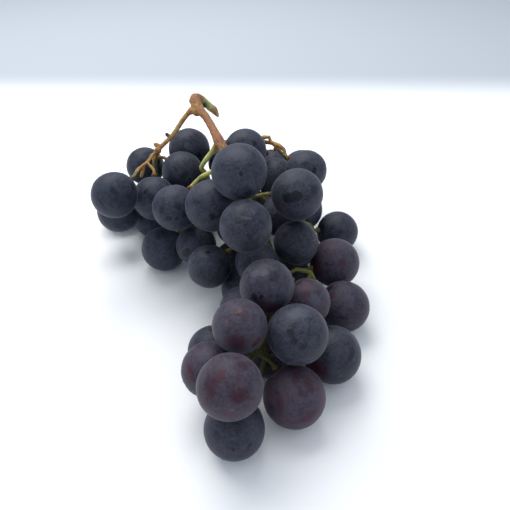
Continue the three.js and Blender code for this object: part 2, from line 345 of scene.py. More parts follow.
def put_attribute(mesh: bpy.types.Mesh, name: str, kind: str, values: np.ndarray) -> None:
    """Stores one value for each vertex under a name.

    Args:
        mesh: the mesh.
        name: the attribute's name.
        kind: FLOAT or FLOAT_COLOR.
        values: the values, a row for each vertex.
    """
    attribute = mesh.attributes.new(name, kind, "POINT")
    key = {"FLOAT": "value", "FLOAT_COLOR": "color"}[kind]
    attribute.data.foreach_set(key, np.ascontiguousarray(values, dtype=np.float32).ravel())


@dataclass
class Studio:
    """The plain pale surface, the soft light and the camera."""

    eye: tuple[float, float, float] = (18.11 * MM, -199.36 * MM, 186.0 * MM)
    pitch_down: float = 38.3
    lens: float = 36.0
    surface_half: float = 4.0
    white_ends: tuple[float, float] = (250 * MM, 352 * MM)
    surface_white: Colour = (0.91, 0.915, 0.92)
    far_blue: Colour = (0.442, 0.478, 0.520)
    low_sky: Colour = (0.60, 0.69, 0.84)
    high_sky: Colour = (0.86, 0.92, 1.0)
    sky_strength: float = 0.86
    light_size: tuple[float, float] = (0.8, 0.6)
    light_power: float = 8.0
    light_colour: Colour = (1.0, 0.985, 0.96)
    light_place: tuple[float, float, float] = (-0.24, 0.44, 0.83)
    light_aim: tuple[float, float, float] = (0.0, 0.0, 0.03)

    def sight(self, seen_at: tuple[float, float]) -> Vector:
        """The way from the camera to what it sees at a place in its picture.

        Args:
            seen_at: the place, in pixels from the picture's upper left corner.

        Returns:
            A unit vector.
        """
        pitch = math.radians(self.pitch_down)
        ahead = Vector((0.0, math.cos(pitch), -math.sin(pitch)))
        above = Vector((0.0, math.sin(pitch), math.cos(pitch)))
        far = PICTURE_SIZE * self.lens / SENSOR_WIDTH
        right = (seen_at[0] - PICTURE_SIZE / 2) / far
        up = (PICTURE_SIZE / 2 - seen_at[1]) / far
        return (ahead + Vector((right, 0.0, 0.0)) + above * up).normalized()

    def build(self) -> None:
        """Makes the camera first, then the surface and the lights."""
        self._camera()
        self._surface()
        self._lights()
        scene = bpy.context.scene
        scene.view_settings.view_transform = "Standard"
        scene.view_settings.look = "None"
        log.info("studio: camera at %.0f mm height", self.eye[2] / MM)

    def _camera(self) -> None:
        """The camera, where the photo's was."""
        data = bpy.data.cameras.new("Camera")
        data.sensor_fit = "HORIZONTAL"
        data.sensor_width = SENSOR_WIDTH
        data.lens = self.lens
        data.clip_start = 0.01
        camera = bpy.data.objects.new("Camera", data)
        camera.location = self.eye
        camera.rotation_euler = (math.radians(90.0 - self.pitch_down), 0.0, 0.0)
        bpy.context.scene.collection.objects.link(camera)
        bpy.context.scene.camera = camera

    def _surface(self) -> None:
        """The surface, white round the bunch and pale blue far behind it."""
        half = self.surface_half
        corners = [(-half, -half, 0), (half, -half, 0), (half, half, 0), (-half, half, 0)]
        mesh = bpy.data.meshes.new("surface")
        mesh.from_pydata(corners, [], [(0, 1, 2, 3)])
        made, g, shader = new_material("White surface")
        place = g.out("ShaderNodeTexCoord", None, None, "Object")
        parts = g.node("ShaderNodeSeparateXYZ", None, {0: place})
        far = Val(g, parts.outputs[1]).rise(*self.white_ends)
        colour = g.blend(far, self.surface_white, self.far_blue)
        join_sockets(g, shader, {"Base Color": colour, "Roughness": 0.9, "Specular IOR Level": 0.1})
        mesh.materials.append(made)
        surface = bpy.data.objects.new("surface", mesh)
        bpy.context.scene.collection.objects.link(surface)

    def _lights(self) -> None:
        """A pale sky all round and one broad light above and behind."""
        scene = bpy.context.scene
        world = bpy.data.worlds.new("Pale room")
        world.use_nodes = True
        scene.world = world
        background = next(n for n in world.node_tree.nodes if n.type == "BACKGROUND")
        g = Graph(world.node_tree)
        way = g.out("ShaderNodeTexCoord", None, None, "Generated")
        parts = g.node("ShaderNodeSeparateXYZ", None, {0: way})
        up = Val(g, parts.outputs[2]).rise(-0.1, 0.9)
        g.tree.links.new(g.blend(up, self.low_sky, self.high_sky).socket, background.inputs[0])
        background.inputs[1].default_value = self.sky_strength
        light = bpy.data.lights.new("Overhead", "AREA")
        light.shape = "RECTANGLE"
        light.size, light.size_y = self.light_size
        light.energy = self.light_power
        light.color = self.light_colour
        lamp = bpy.data.objects.new("Overhead", light)
        lamp.location = self.light_place
        away = Vector(self.light_place) - Vector(self.light_aim)
        lamp.rotation_euler = away.to_track_quat("Z", "Y").to_euler()
        scene.collection.objects.link(lamp)


class MarkKind(Enum):
    """What shows at a mark. Its value names the attribute that holds how far the mark is."""

    RUB = "rub"
    SMEAR = "smear"
    BLUSH = "blush"
    # Paler, thicker bloom; one of these marks is a painted highlight on the top of a grape.
    PALE_AND_HIGHLIGHT = "pale"
    RUSSET = "russet"


# How ragged and how soft the edge of each kind of mark is, as shares of its size.
MARK_EDGES = {
    MarkKind.RUB: (0.55, 0.16),
    MarkKind.SMEAR: (0.80, 0.35),
    MarkKind.BLUSH: (0.70, 0.55),
    MarkKind.PALE_AND_HIGHLIGHT: (0.80, 0.45),
    MarkKind.RUSSET: (0.90, 0.40),
}


@dataclass(frozen=True)
class Texture:
    """What varies over a skin: its coordinates, noises from broad to fine, and its marks."""

    place: Val
    broad: Val
    mottle: Val
    fine: Val
    grain: Val
    ragged: Val
    marks: dict[MarkKind, Val]


@dataclass(frozen=True)
class BloomedSkin:
    """Grape skin under its waxy bloom, rubbed off in places."""

    ripe: Colour = (0.0035, 0.0040, 0.0080)
    plum: Colour = (0.052, 0.009, 0.019)
    blue_bloom: Colour = (0.034, 0.045, 0.073)
    grey_bloom: Colour = (0.045, 0.047, 0.070)
    plum_bloom: Colour = (0.078, 0.064, 0.093)
    scar: Colour = (0.085, 0.050, 0.036)
    russet: Colour = (0.170, 0.070, 0.040)
    speck: Colour = (0.300, 0.320, 0.350)
    # The colour of the stylar ring, and of the pale marks, one of which is a painted highlight.
    ring_and_highlight: Colour = (0.080, 0.088, 0.112)
    bare_roughness: float = 0.40
    bloom_roughness: float = 0.60
    broad_size: float = 8 * MM
    mottle_size: float = 2.8 * MM
    fine_size: float = 1.3 * MM
    grain_size: float = 0.6 * MM
    edge_size: float = 1.5 * MM
    worn_size: float = 3.4 * MM
    patch_size: float = 7.5 * MM
    relief: float = 0.10 * MM
    rub_strength: float = 0.85
    smear_strength: float = 0.60
    pale_and_highlight_strength: float = 0.60
    worn_strength: float = 0.42
    scratch_strength: float = 0.35
    wiped_strength: float = 0.6
    spot_strength: float = 0.6

    def material(self) -> bpy.types.Material:
        """Builds the skin's material.

        Returns:
            The material. It reads Object coordinates and the grape's own attributes.
        """
        made, g, shader = new_material("Bloomed grape skin")
        texture = self._texture(g)
        cover = self._cover(g, texture)
        height = cover * 0.6 + texture.grain * 0.5 + texture.fine * 0.4
        bump = g.out("ShaderNodeBump", None, {"Strength": 0.5, "Distance": self.relief, "Height": height})
        sockets = {
            "Base Color": self._colour(g, texture, cover),
            "Roughness": self.bare_roughness + cover * (self.bloom_roughness - self.bare_roughness),
            "Normal": bump,
            "Sheen Weight": 0.16,
            "Sheen Roughness": 0.28,
            "Sheen Tint": (0.74, 0.84, 1.0, 1.0),
            "Specular IOR Level": 0.22,
        }
        join_sockets(g, shader, sockets)
        return made

    def _texture(self, g: Graph) -> Texture:
        """Adds what the skin's cover and colour are both made from."""
        place = g.out("ShaderNodeTexCoord", None, None, "Object")
        ragged = g.noise(place, self.edge_size, 3.0, 0.55, 21.0) - 0.5
        return Texture(
            place=place,
            broad=g.noise(place, self.broad_size, 2.0).rise(0.3, 0.7),
            mottle=g.noise(place, self.mottle_size, 3.0, 0.6, 3.0).rise(0.32, 0.68),
            fine=g.noise(place, self.fine_size, 3.0, 0.65, 5.0).rise(0.3, 0.7),
            grain=g.noise(place, self.grain_size, 2.0, 0.6, 7.0).rise(0.3, 0.7),
            ragged=ragged,
            marks={
                kind: self._mark(g, kind, ragged * rough, soft)
                for kind, (rough, soft) in MARK_EDGES.items()
            },
        )

    def _cover(self, g: Graph, texture: Texture) -> Val:
        """Works out how much of the skin the bloom covers.

        Args:
            g: the material's graph.
            texture: the skin's noises and marks.

        Returns:
            The cover, from 0 on bare skin to 1.
        """
        place = texture.place
        marks = texture.marks
        pores = self._spots(g, place, 1.5 * MM, 0.35, 13.0)
        spots = pores.at_least(self._spots(g, place, 0.9 * MM, 0.45, 17.0))
        wiped = (1.0 - g.named("contact").rise(0.1, 1.4)) * self.wiped_strength
        worn = g.noise(place, self.worn_size, 3.0, 0.5, 19.0).rise(0.54, 0.62)
        worn = worn * texture.broad.rise(0.35, 0.75)
        cover = 0.02 + texture.broad * 0.22 + texture.mottle * 0.42
        cover = cover + texture.fine * 0.42 + texture.grain * 0.40
        cover = cover * g.named("bloom") * (1.0 - self.worn_strength * worn)
        cover = cover * (1.0 - self.scratch_strength * self._scratches(g, place))
        cover = cover * (1.0 - self.rub_strength * marks[MarkKind.RUB])
        cover = cover * (1.0 - self.smear_strength * marks[MarkKind.SMEAR])
        # The pale marks thicken the bloom; the broad one on a grape's top is a painted highlight.
        cover = cover * (1.0 + self.pale_and_highlight_strength * marks[MarkKind.PALE_AND_HIGHLIGHT])
        return (cover * (1.0 - wiped) * (1.0 - self.spot_strength * spots)).clamped()

    def _colour(self, g: Graph, texture: Texture, cover: Val) -> Val:
        """Works out the skin's colour, from the bare skin up to the dust on its bloom.

        Args:
            g: the material's graph.
            texture: the skin's noises and marks.
            cover: how much of the skin the bloom covers.

        Returns:
            The colour.
        """
        place = texture.place
        marks = texture.marks
        blush = marks[MarkKind.BLUSH]
        plumness = g.named("plum")
        patches = g.noise(place, self.patch_size, 3.0, 0.55, 11.0).rise(0.25, 0.75)
        red = ((patches * 0.7 + plumness * 1.1 - 0.65) * plumness.rise(0.05, 0.3)).clamped()
        red = red.at_least(blush * 0.9)
        skin = g.blend(red, self.ripe, self.plum)
        haze = g.blend(g.named("hue"), self.blue_bloom, self.grey_bloom)
        haze = g.blend(plumness * (0.55 + 0.45 * patches), haze, self.plum_bloom)
        colour = g.blend(cover * (1.0 - 0.25 * red - 0.5 * blush).clamped(), skin, haze)

        from_stem = g.named("from_stem")
        halo = (from_stem - 0.93 + texture.ragged * 0.02).hill(0.010) * texture.mottle * texture.fine
        nipple = from_stem.rise(0.988, 0.993)
        round_nipple = (from_stem - 0.978).hill(0.005)
        layers = (
            # The pale marks, one of them a painted highlight, and the stylar ring are blended paler.
            (marks[MarkKind.PALE_AND_HIGHLIGHT] * 0.35, self.ring_and_highlight),
            (halo * g.named("ringed") * 0.7, self.ring_and_highlight),
            (nipple * 0.4, self.scar),
            (round_nipple * 0.4, self.ripe),
            (marks[MarkKind.RUSSET] * 0.45, self.russet),
            (self._dust(g, place), self.speck),
        )
        for share, layer in layers:
            colour = g.blend(share, colour, layer)
        return colour

    @staticmethod
    def _mark(g: Graph, kind: MarkKind, ragged: Val, softness: float) -> Val:
        """Where the marks of a kind are, from 0 to 1.

        Args:
            g: the material's graph.
            kind: the kind of mark.
            ragged: what bends their outlines.
            softness: how wide their edges are, as a share of their size.

        Returns:
            The mask.
        """
        return 1.0 - (g.named(kind.value) + ragged).rise(1.0 - softness, 1.0 + softness)

    @staticmethod
    def _scratches(g: Graph, place: Val) -> Val:
        """Short curved scratches in the bloom, from 0 to 1."""
        bent = g.vectors("ADD", place, g.scaled(g.noise(place, 6.0 * MM, 2.0, 0.5, 23.0), 9.0 * MM))
        sockets = {"Vector": bent, "Scale": 1.0 / (9.0 * MM), "Randomness": 1.0}
        cells = g.node("ShaderNodeTexVoronoi", {"feature": "DISTANCE_TO_EDGE"}, sockets)
        line = 1.0 - Val(g, cells.outputs["Distance"]).rise(0.015, 0.055)
        return line * g.noise(place, 5.0 * MM, 1.0, 0.5, 25.0).rise(0.5, 0.6)

    @staticmethod
    def _spots(g: Graph, place: Val, apart: float, size: float, seed: float) -> Val:
        """Small ragged dark spots in clusters, where the bloom is thin over a pore.

        Args:
            g: the material's graph.
            place: the Object coordinates.
            apart: how far apart they lie, in metres.
            size: how wide they are, as a share of that.
            seed: the place along the noise's fourth dimension.

        Returns:
            The spots, 1 in the middle of each.
        """
        bent = g.vectors("ADD", place, g.scaled(g.noise(place, 0.7 * MM, 2.0, 0.5, seed), 0.7 * apart))
        sockets = {"Vector": bent, "Scale": 1.0 / apart, "Randomness": 1.0}
        cells = g.node("ShaderNodeTexVoronoi", {"feature": "F1"}, sockets)
        chance = g.out("ShaderNodeSeparateColor", None, {0: Val(g, cells.outputs["Color"])})
        far = Val(g, cells.outputs["Distance"])
        cluster = g.noise(place, 5.0 * MM, 2.0, 0.5, seed + 1.0).rise(0.44, 0.6)
        return (1.0 - far.rise(0.3 * size, size)) * chance.rise(0.35, 0.6) * cluster

    @staticmethod
    def _dust(g: Graph, place: Val) -> Val:
        """A few pale specks of dust."""
        sockets = {"Vector": place, "Scale": 1.0 / (3.4 * MM), "Randomness": 1.0}
        cells = g.node("ShaderNodeTexVoronoi", {"feature": "F1"}, sockets)
        chance = g.out("ShaderNodeSeparateColor", None, {0: Val(g, cells.outputs["Color"])})
        far = Val(g, cells.outputs["Distance"])
        return (1.0 - far.rise(0.025, 0.06)) * chance.rise(0.78, 0.84) * 0.6


@dataclass(frozen=True)
class Mark:
    """A mark on a grape's skin, placed by where the camera sees it.

    Attributes:
        seen_at: its middle in the camera's picture, in pixels.
        size: half its width, in millimetres.
        stretch: how many times longer than wide it is.
        turn: how far its long way is turned clockwise from level, in degrees.
    """

    seen_at: tuple[float, float]
    size: float
    stretch: float = 1.0
    turn: float = 0.0


SEEN_MARKS = {
    MarkKind.RUB: (
        Mark((288.5, 198), 2.5, 1.1, 10), Mark((296.5, 196), 2.5, 1.1, 10),
        Mark((314, 172), 1.1, 1.5, 80), Mark((241, 174), 0.9, 1.6, 80),
        Mark((255, 143), 1.3, 1.2, 60), Mark((268, 236), 1.1, 1.6, 105),
        Mark((246, 207), 0.9, 1.5, 10), Mark((322, 228), 1.1, 1.7, 90),
        Mark((329, 288), 1.5, 1.3, 150), Mark((299, 283), 1.3, 1.4, 160),
        Mark((254, 297), 1.2, 1.5, 60), Mark((261.5, 297), 0.9, 1.3, 100),
        Mark((256.5, 343), 1.5, 1.8, -45), Mark((233, 450), 0.8, 1.3, 60),
        Mark((208, 252), 1.0, 1.5, 0), Mark((148, 248), 0.9, 1.1, 0),
        Mark((168, 219), 1.5, 1.5, 150), Mark((177, 219), 1.1, 1.2, 0),
        Mark((212, 217), 1.5, 1.2, 60), Mark((200, 155), 1.2, 1.6, 60),
        Mark((202, 173), 1.2, 1.8, 60), Mark((146, 191), 1.1, 1.7, 120),
        Mark((133, 186), 1.0, 3, 70), Mark((315, 169), 0.9, 1.4, 70),
    ),
    MarkKind.SMEAR: (
        Mark((275, 187), 0.6, 5, 117), Mark((315, 190), 2.0, 1.3, 70),
        Mark((251, 165), 0.5, 4, -40), Mark((255, 173), 0.5, 4, -40),
        Mark((249, 193), 1.5, 1.5, 0), Mark((219, 187), 1.6, 1.5, 50),
        Mark((240, 140), 2.2, 1.4, 0), Mark((250, 237), 1.4, 1.2, 90),
        Mark((243, 212), 1.2, 1.3, 0), Mark((285, 234), 1.9, 1.1, 90),
        Mark((341, 232), 1.4, 1.2, 0), Mark((325.5, 263), 1.0, 1.0, 0),
        Mark((327, 272), 0.6, 2.6, 0), Mark((343, 318), 0.6, 5, 10),
        Mark((274, 276), 2.4, 1.2, 0), Mark((290, 333), 1.5, 1.2, 0),
        Mark((294, 341), 1.4, 1.1, 0), Mark((303, 348), 1.4, 1.3, 0),
        Mark((352, 355), 1.2, 3, 120), Mark((310, 384), 1.8, 1.8, 80),
        Mark((292, 399), 0.5, 4, 80), Mark((243, 365), 1.6, 1.6, 30),
        Mark((209, 386), 2.6, 1.5, 80), Mark((239, 396), 2.4, 1.8, -20),
        Mark((216, 432), 0.9, 1.2, 0), Mark((249, 447), 0.9, 2.5, 120),
        Mark((161, 210), 1.4, 1.3, 100), Mark((178, 206), 1.6, 1.3, 60),
        Mark((196, 202), 1.2, 1.6, 20), Mark((194, 157), 1.3, 1.4, 120),
        Mark((184, 175), 1.6, 1.5, 130), Mark((176, 170), 0.5, 4, 20),
        Mark((151, 197), 1.6, 1.6, 60), Mark((100, 202), 0.6, 5, 55),
        Mark((112, 206), 0.6, 6, 45), Mark((116, 180), 0.6, 4, 20),
        Mark((113, 190), 1.4, 1.5, 60), Mark((305, 163), 1.3, 1.6, 0),
    ),
    MarkKind.BLUSH: (
        Mark((278, 209), 2.2, 1.8, 50), Mark((316, 265), 3.6, 2.0, 75),
        Mark((342, 262), 1.6, 1.2, 0), Mark((331, 295), 1.8, 1.2, 0),
        Mark((305, 293), 1.4, 1.3, 0), Mark((267, 309), 3.3, 1.9, 25),
        Mark((236, 342), 2.7, 1.8, 10), Mark((317, 369), 3.4, 2.2, 40),
        Mark((308, 418), 2.0, 2.2, -30), Mark((219, 376), 1.7, 2.2, 110),
        Mark((241, 399), 1.2, 1.6, 0), Mark((190, 372), 1.6, 3.0, 65),
    ),
    # The first of these, broad on the top of a grape, is a painted highlight; the rest are paler bloom.
    MarkKind.PALE_AND_HIGHLIGHT: (
        Mark((240, 154), 3.0, 1.3, 0), Mark((246, 162), 0.5, 5, -30),
        Mark((246, 218), 0.7, 4, 5), Mark((253, 211), 0.6, 3, 60),
        Mark((290, 227), 0.6, 4, 20), Mark((316, 300), 2.0, 1.4, 40),
        Mark((255, 273), 1.6, 1.2, 0), Mark((264, 273), 1.4, 1.2, 0),
        Mark((299, 312), 3.0, 1.4, 0), Mark((232, 411), 0.8, 1.0, 0),
        Mark((205, 256), 0.6, 4, 40), Mark((188, 146), 1.8, 1.6, 40),
    ),
    MarkKind.RUSSET: (
        Mark((239.5, 310.5), 1.0, 1.2, 120), Mark((226, 321), 0.8, 1.3, 100),
    ),
}


@dataclass(frozen=True)
class Blot:
    """A mark where it lies on a skin: its middle, its long way and its half width in metres."""

    kind: MarkKind
    middle: Vector
    way: Vector
    size: float
    stretch: float


class Ripeness(Enum):
    """How plum red a grape's skin still is."""

    BLUE_BLACK = 0.0
    TINGED = 0.35
    PLUM = 0.65
    BURGUNDY = 0.95


LESS_RIPE = {
    Ripeness.BURGUNDY: ("grape_53",),
    Ripeness.PLUM: ("grape_46", "grape_39", "grape_41", "grape_51", "grape_52"),
    Ripeness.TINGED: ("grape_40", "grape_45", "grape_49"),
}


@dataclass
class Grapes:
    """All the grapes of the bunch."""

    balls: list[Ball]
    skin: bpy.types.Material
    studio: Studio
    segments: int = 84
    rings: int = 58
    dimple_depth: float = 0.55 * MM
    dimple_width: float = 0.24
    nipple_height: float = 0.22 * MM
    nipple_width: float = 0.055
    hollow_depth: float = 0.12 * MM
    hollow_width: float = 0.2
    pole_crowding: float = 0.3
    lump_height: float = 0.55 * MM
    foot_softness: float = 0.25 * MM
    bluest_side: float = -50 * MM
    greyest_side: float = 10 * MM
    random_blots: int = 6
    unmarked: float = 9.0
    seed: int = 41
    seed_step: float = 3.7
    farthest_contact: float = 5.0

    def build(self) -> None:
        """Grows one piece for each grape of the frame and dresses it."""
        tree = self._form_tree()
        draw = np.random.default_rng(self.seed)
        seen_blots = self._seen_blots()
        middles = np.array([ball.middle for ball in self.balls])
        radii = np.array([ball.radius for ball in self.balls])
        for index, ball in enumerate(self.balls):
            spin = Quaternion(ball.stem_way, draw.uniform(0, math.tau))
            turn = (spin @ Vector((0, 0, 1)).rotation_difference(ball.stem_way)).to_euler()
            values = {
                "Radius": ball.radius,
                "Stretch": float(draw.uniform(0.975, 1.005)),
                "Width": float(draw.uniform(0.985, 1.0)),
                "Lump Height": self.lump_height,
                "Seed": index * self.seed_step,
                "Turn": tuple(turn),
                "Middle": tuple(ball.middle),
                "Skin": self.skin,
            }
            piece = grown(ball.node.replace("grape", "ripe_grape"), tree, values)
            self._ripen(piece, ball, np.delete(middles, index, 0), np.delete(radii, index), draw)
            self._blot(piece, ball, seen_blots[ball.node], draw)
            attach(piece, BODY)
            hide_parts(ball.node)
            log.info("%s: radius %.1f mm, %d faces", piece.name, ball.radius / MM, len(piece.data.polygons))
        bpy.data.node_groups.remove(tree)

    def _form_tree(self) -> bpy.types.NodeTree:
        """Builds the tree of a grape's form.

        Returns:
            The tree. A ball's rings are drawn together at its poles, it is dimpled under the
            pedicel, has a little nipple at the far end, and is pressed flat on the surface.
        """
        numbers = ("Radius", "Stretch", "Width", "Lump Height", "Seed")
        inputs = [(label, "NodeSocketFloat") for label in numbers]
        inputs += [(label, "NodeSocketVector") for label in ("Turn", "Middle")]
        inputs.append(("Skin", "NodeSocketMaterial"))
        g, given = new_tree("Grape form", inputs)
        sockets = {"Segments": self.segments, "Rings": self.rings, "Radius": 1.0}
        ball = g.out("GeometryNodeMeshUVSphere", None, sockets)
        where = g.out("GeometryNodeInputPosition")
        parts = g.node("ShaderNodeSeparateXYZ", None, {0: where})
        x, y, z = (Val(g, parts.outputs[k]) for k in range(3))
        polar = z.at_least(-1.0).at_most(1.0).one("ARCCOSINE")
        drawn = polar - self.pole_crowding * (polar * 2.0).one("SINE")
        flat = (x * x + y * y).one("SQRT").at_least(1e-5)
        spread = drawn.one("SINE") / flat
        way_sockets = {0: x * spread, 1: y * spread, 2: drawn.one("COSINE")}
        way = g.out("ShaderNodeCombineXYZ", None, way_sockets)

        lumps = g.noise(way, 0.9, 1.0, 0.4, given["Seed"]) - 0.5
        dents = g.noise(way, 0.28, 2.0, 0.5, given["Seed"]) - 0.5
        far = math.pi - drawn
        dimple = drawn.hill(self.dimple_width) - 0.35 * (drawn - 2.1 * self.dimple_width).hill(0.2)
        nipple = far.hill(self.nipple_width) * self.nipple_height
        nipple = nipple - far.hill(self.hollow_width) * self.hollow_depth
        out = given["Radius"] - given["Lump Height"] * 0.25 + lumps * given["Lump Height"]
        out = out + dents * given["Lump Height"] * 0.25 - dimple * self.dimple_depth + nipple
        place = g.scaled(way, out)
        shape_sockets = {0: given["Width"], 1: 1.0, 2: given["Stretch"]}
        shape = g.out("ShaderNodeCombineXYZ", None, shape_sockets)
        place = g.vectors("MULTIPLY", place, shape)

        store_settings = {"data_type": "FLOAT", "domain": "POINT"}
        store_sockets = {"Geometry": ball, "Name": "from_stem", "Value": drawn / math.pi}
        stored = g.out("GeometryNodeStoreNamedAttribute", store_settings, store_sockets)
        formed = g.out("GeometryNodeSetPosition", None, {"Geometry": stored, "Position": place})
        move_sockets = {"Geometry": formed, "Translation": given["Middle"], "Rotation": given["Turn"]}
        moved = g.out("GeometryNodeTransform", None, move_sockets)
        there = g.out("GeometryNodeInputPosition")
        parts = g.node("ShaderNodeSeparateXYZ", None, {0: there})
        height = Val(g, parts.outputs[2])
        raised = 0.5 * (height + (height * height + self.foot_softness**2).one("SQRT"))
        foot_sockets = {0: Val(g, parts.outputs[0]), 1: Val(g, parts.outputs[1]), 2: raised}
        footed = g.out("ShaderNodeCombineXYZ", None, foot_sockets)
        stood = g.out("GeometryNodeSetPosition", None, {"Geometry": moved, "Position": footed})
        end_tree(g, stood, given["Skin"])
        return g.tree

    def _ripen(
        self,
        piece: bpy.types.Object,
        ball: Ball,
        middles: np.ndarray,
        radii: np.ndarray,
        draw: np.random.Generator,
    ) -> None:
        """Stores what the skin reads of its ripeness, its bloom and its neighbours.

        Args:
            piece: the grape.
            ball: what the frame says of it.
            middles: the middles of the other grapes.
            radii: the radii of the other grapes.
            draw: the random draws.
        """
        places = points_of(piece)
        gaps = np.linalg.norm(places[:, None] - middles[None], axis=2) - radii[None]
        put_attribute(piece.data, "contact", "FLOAT", np.clip(gaps.min(1) / MM, 0.0, self.farthest_contact))
        ripeness = next((r for r, names in LESS_RIPE.items() if ball.node in names), Ripeness.BLUE_BLACK)
        leaning = (ball.middle.x - self.bluest_side) / (self.greyest_side - self.bluest_side)
        numbers = {
            "plum": ripeness.value + draw.uniform(0.0, 0.1),
            "hue": min(max(leaning, 0.0), 1.0) * 0.8 + draw.uniform(0.0, 0.3),
            "bloom": draw.uniform(0.86, 1.14),
            "ringed": max(draw.uniform(-1.0, 1.0), 0.0),
        }
        for name, number in numbers.items():
            put_attribute(piece.data, name, "FLOAT", np.full(len(places), number))

    def _seen_blots(self) -> dict[str, list[Blot]]:
        """Puts the seen marks on the grapes that the camera sees there.

        Returns:
            The blots of each grape, by its node.
        """
        eye = Vector(self.studio.eye)
        blots: dict[str, list[Blot]] = {ball.node: [] for ball in self.balls}
        for kind, mark in ((kind, mark) for kind, marks in SEEN_MARKS.items() for mark in marks):
            sight = self.studio.sight(mark.seen_at)
            hits = []
            for ball in self.balls:
                along = (ball.middle - eye).dot(sight)
                aside_squared = (ball.middle - eye).length_squared - along**2
                if aside_squared < ball.radius**2:
                    hits.append((along - math.sqrt(ball.radius**2 - aside_squared), ball.node, ball))
            if not hits:
                log.info("no grape is seen at %s", mark.seen_at)
                continue
            reach, node, ball = min(hits, key=lambda hit: hit[:2])
            middle = eye + sight * reach
            outward = (middle - ball.middle).normalized()
            level = Vector((1.0, 0.0, 0.0))
            level = (level - outward * level.dot(outward)).normalized()
            way = Quaternion(outward, -math.radians(mark.turn)) @ level
            blots[node].append(Blot(kind, middle, way, mark.size * MM, mark.stretch))
        return blots

    def _blot(
        self, piece: bpy.types.Object, ball: Ball, seen: list[Blot], draw: np.random.Generator
    ) -> None:
        """Stores how far each vertex is from the nearest mark of each kind.

        Args:
            piece: the grape.
            ball: what the frame says of it.
            seen: the blots that the camera sees on it.
            draw: the random draws, for the side that the camera doesn't see.
        """
        places = points_of(piece)
        to_eye = (Vector(self.studio.eye) - ball.middle).normalized()
        blots = list(seen)
        for _ in range(self.random_blots):
            outward = Vector(draw.normal(size=3)).normalized()
            way = outward.cross(Vector(draw.normal(size=3))).normalized()
            size = draw.uniform(0.8, 2.6) * MM
            stretch = draw.uniform(1.0, 2.2)
            kind = MarkKind.RUB if draw.uniform() < 0.4 else MarkKind.SMEAR
            if not seen or outward.dot(to_eye) < 0.1:
                blots.append(Blot(kind, ball.middle + outward * ball.radius, way, size, stretch))
        for kind in MarkKind:
            nearest = np.full(len(places), self.unmarked)
            for blot in (b for b in blots if b.kind is kind):
                offset = places - np.array(blot.middle)
                along = offset @ np.array(blot.way)
                shrunk = offset - np.outer(along * (1.0 - 1.0 / blot.stretch), np.array(blot.way))
                nearest = np.minimum(nearest, np.linalg.norm(shrunk, axis=1) / blot.size)
            put_attribute(piece.data, kind.value, "FLOAT", nearest)


@dataclass(frozen=True)
class TonedPlace:
    """A place on the stalk, in millimetres, with its colour and how far the colour reaches."""

    at: tuple[float, float, float]
    reach: float
    colour: Colour
    strength: float = 1.0


OLIVE: Colour = (0.150, 0.150, 0.045)
# Painted shade: the olive of the stems deep in the front cluster, darkened where shade falls on them.
SHADE_PAINTED_OLIVE: Colour = (0.052, 0.048, 0.018)
CUT_GREEN: Colour = (0.500, 0.520, 0.210)
PALE_GREEN: Colour = (0.620, 0.640, 0.250)
YELLOW_GREEN: Colour = (0.520, 0.490, 0.145)
OCHRE: Colour = (0.420, 0.260, 0.080)
TAN: Colour = (0.450, 0.290, 0.110)
ORANGE_BROWN: Colour = (0.400, 0.185, 0.064)
ROSY_BROWN: Colour = (0.300, 0.122, 0.062)
RED_BROWN: Colour = (0.330, 0.110, 0.070)
DARK_BROWN: Colour = (0.030, 0.018, 0.012)
CORK: Colour = (0.150, 0.066, 0.038)

PLAIN_SHARE = 0.15
TONED_PLACES = (
    TonedPlace((-4.8, 90, 65.0), 3.5, ORANGE_BROWN, 14.0),
    TonedPlace((-6.5, 89.5, 67), 4, CUT_GREEN, 2.0),
    TonedPlace((-10, 86, 71), 4, CUT_GREEN, 2.0),
    TonedPlace((-11.2, 83.4, 71.4), 1.5, DARK_BROWN, 14.0),
    TonedPlace((-16, 80, 77), 6, ROSY_BROWN),
    TonedPlace((-15, 72.5, 73), 3, OCHRE, 2.0),
    TonedPlace((-10, 67, 74), 8, ROSY_BROWN),
    TonedPlace((-4, 55, 71), 7, ROSY_BROWN),
    TonedPlace((-1, 56, 70), 2.8, RED_BROWN, 3.0),
    TonedPlace((0, 47, 68), 5, ROSY_BROWN, 2.0),
    TonedPlace((2, 43, 67), 5, ROSY_BROWN),
    TonedPlace((-4, 46, 63), 3, YELLOW_GREEN, 2.0),
    TonedPlace((-8, 46, 57), 6, PALE_GREEN, 2.0),
    TonedPlace((-11, 47, 53), 5, PALE_GREEN),
    TonedPlace((-3, 30, 60), 7, YELLOW_GREEN, 2.0),
    TonedPlace((-12, 27, 56), 7, YELLOW_GREEN, 2.0),
    TonedPlace((-19, 74, 72), 5, ORANGE_BROWN),
    TonedPlace((-25, 67, 65), 5, TAN),
    TonedPlace((-33, 60, 59), 6, ORANGE_BROWN),
    TonedPlace((-36, 57, 56), 2.5, CORK, 2.0),
    TonedPlace((-31.4, 65.3, 62.8), 1.7, DARK_BROWN, 12.0),
    TonedPlace((-38, 55, 55), 5, OCHRE),
    TonedPlace((-42, 49, 53), 5, ORANGE_BROWN, 2.0),
    TonedPlace((-45, 45, 50), 4, TAN),
    TonedPlace((-37, 52, 49), 4, YELLOW_GREEN, 2.0),
    TonedPlace((16, 73, 57), 7, YELLOW_GREEN),
    TonedPlace((23, 70, 57), 4, OCHRE),
    TonedPlace((28, 66, 57), 4, ORANGE_BROWN, 2.0),
    TonedPlace((31, 62, 58), 3, OCHRE),
    TonedPlace((34.5, 55.5, 58), 3, CORK, 3.0),
    TonedPlace((33, -12, 30), 9, OLIVE, 2.0),
    # Painted shade over the pedicels deep in the front cluster.
    TonedPlace((22, -45, 27), 18, SHADE_PAINTED_OLIVE, 2.0),
)


